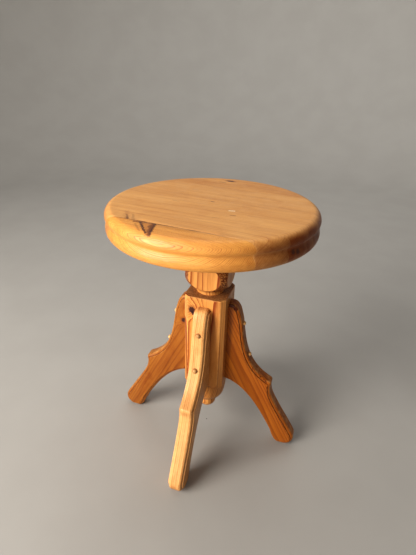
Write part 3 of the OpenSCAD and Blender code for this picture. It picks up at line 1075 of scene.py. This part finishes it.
def felt_ring(material):
    """The washer of felt, a little crushed and uneven at its rim."""
    low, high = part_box("felt_washer")
    outer, inner = high.x - 0.5 * MM, 14.2 * MM
    ring = lathe("felt_ring", ring_path(inner, outer, low.z, high.z, 0.9 * MM), 160)
    co = object_points(ring)
    a = np.arctan2(co[:, 1], co[:, 0])
    ragged = 1 + 0.006 * np.sin(7 * a + 1.3) + 0.004 * np.sin(23 * a)
    ragged += 0.003 * np.sin(61 * a + co[:, 2] * 3000)
    co[:, :2] *= ragged[:, None]
    ring.data.vertices.foreach_set("co", co.ravel())
    ring.data.update()
    ring.data.materials.append(material)
    return place(ring, "washer", "felt", "felt_washer")


def hardware():
    """Plates, screws, spindle and felt; the small parts that stay CAD nodes get their metals."""
    iron = metal("black_iron", (0.035, 0.034, 0.033), 0.42, metallic=0.0, speckle=0.3, scale=500.0,
                 dirt=(0.12, 0.05, 0.02))
    zinc = metal("zinc_steel", (0.52, 0.50, 0.46), 0.34)
    steel = metal("screw_steel", (0.42, 0.41, 0.40), 0.30, dirt=(0.08, 0.055, 0.03))
    kept = {
        "spindle_nut": iron, "collar_grub_screw": iron, "nut_plate_screws": zinc, "leg_screws": zinc,
        "stop_collar": steel,
    }
    for node, material in kept.items():
        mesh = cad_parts[node].data
        mesh.materials.clear()
        mesh.materials.append(material)
    for node, body, inner in (("spindle_flange", "seat", 8.0), ("nut_plate", "base", 14.0)):
        low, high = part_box(node)
        disc = lathe(node + "_iron", ring_path(inner * MM, high.x, low.z, high.z, 0.8 * MM), 144)
        disc.data.materials.append(iron)
        place(disc, body, "black_iron", node)
    flange_screws(zinc)
    spindle_steel(steel)
    felt_ring(felt("felt", (0.085, 0.075, 0.065)))


# ---- studio --------------------------


def studio():
    """A round pale floor that curves up into a wall, and soft light mostly from the left."""
    level, flat, bend, top = -0.0005, 2.2, 1.2, 3.4
    path = joined(
        line((0.001, level), (flat, level), 6),
        arc(flat, bend + level, bend, -90, 0, 16),
        line((flat + bend, bend), (flat + bend, top), 3),
    )
    floor = lathe("studio_floor", path, 96, smooth_angle=80)
    floor.data.flip_normals()
    s = Shader("studio_grey")
    dust = s.noise(s.coords(), 6.0, 4.0)
    grey = s.mix(s.ranged(dust, 0.3, 0.7), (0.345, 0.33, 0.31), (0.36, 0.345, 0.325))
    floor.data.materials.append(s.surface({
        "Base Color": grey, "Roughness": 0.7, "Specular IOR Level": 0.25,
    }))

    def area(name, place_at, target, size, power, colour):
        light = bpy.data.lights.new(name, "AREA")
        light.shape = "RECTANGLE"
        light.size, light.size_y = size
        light.energy = power
        light.color = colour
        obj = linked(name, light)
        obj.location = place_at
        obj.rotation_euler = (Vector(target) - Vector(place_at)).to_track_quat("-Z", "Y").to_euler()

    area("window", (-1.27, -1.50, 1.10), (0, 0, 0.3), (1.3, 1.7), 74, (1.0, 0.96, 0.90))
    area("ceiling", (-0.5, 0.5, 2.6), (0, 0, 0.2), (2.0, 2.0), 20, (1.0, 0.98, 0.95))
    area("room", (-0.35, -2.3, 0.9), (0, 0, 0.3), (1.8, 1.4), 14, (1.0, 0.93, 0.84))
    area("backdrop", (0.2, 1.6, 2.7), (0.2, 3.4, 0.8), (2.4, 1.0), 36, (1.0, 1.0, 0.98))
    world = bpy.data.worlds.new("studio_world")
    world.use_nodes = True
    background = world.node_tree.nodes["Background"]
    background.inputs["Color"].default_value = (0.80, 0.82, 0.85, 1)
    background.inputs["Strength"].default_value = 0.06
    scene = bpy.context.scene
    scene.world = world
    scene.view_settings.view_transform = "Standard"
    scene.view_settings.look = "Medium High Contrast"


def camera():
    """The viewpoint: 0.64 m from the post's axis, 0.685 m up, 16.7 degrees round to the right."""
    distance, height, swing = 0.6373, 0.685, math.radians(16.7)
    pitch, yaw, roll = math.radians(27.65), math.radians(-0.45), math.radians(1.52)
    forward = Vector((math.sin(yaw) * math.cos(pitch), math.cos(yaw) * math.cos(pitch), -math.sin(pitch)))
    right = forward.cross(Vector((0, 0, 1))).normalized()
    up = right.cross(forward)
    right, up = (math.cos(roll) * right + math.sin(roll) * up,
                 math.cos(roll) * up - math.sin(roll) * right)
    turn = Matrix.Rotation(swing, 3, "Z")
    axes = Matrix((turn @ right, turn @ up, turn @ -forward)).transposed()
    data = bpy.data.cameras.new("camera")
    data.lens, data.sensor_width = 25.95, 36.0
    data.clip_start = 0.02
    obj = linked("camera", data)
    obj.matrix_world = Matrix.Translation(turn @ Vector((0, -distance, height))) @ axes.to_4x4()
    bpy.context.scene.camera = obj


# ---- the whole -----------------------

camera()
studio()
seat_materials(seat_boards())
post_wood()
legs()
screw_plugs()
hardware()

bpy.context.view_layer.update()
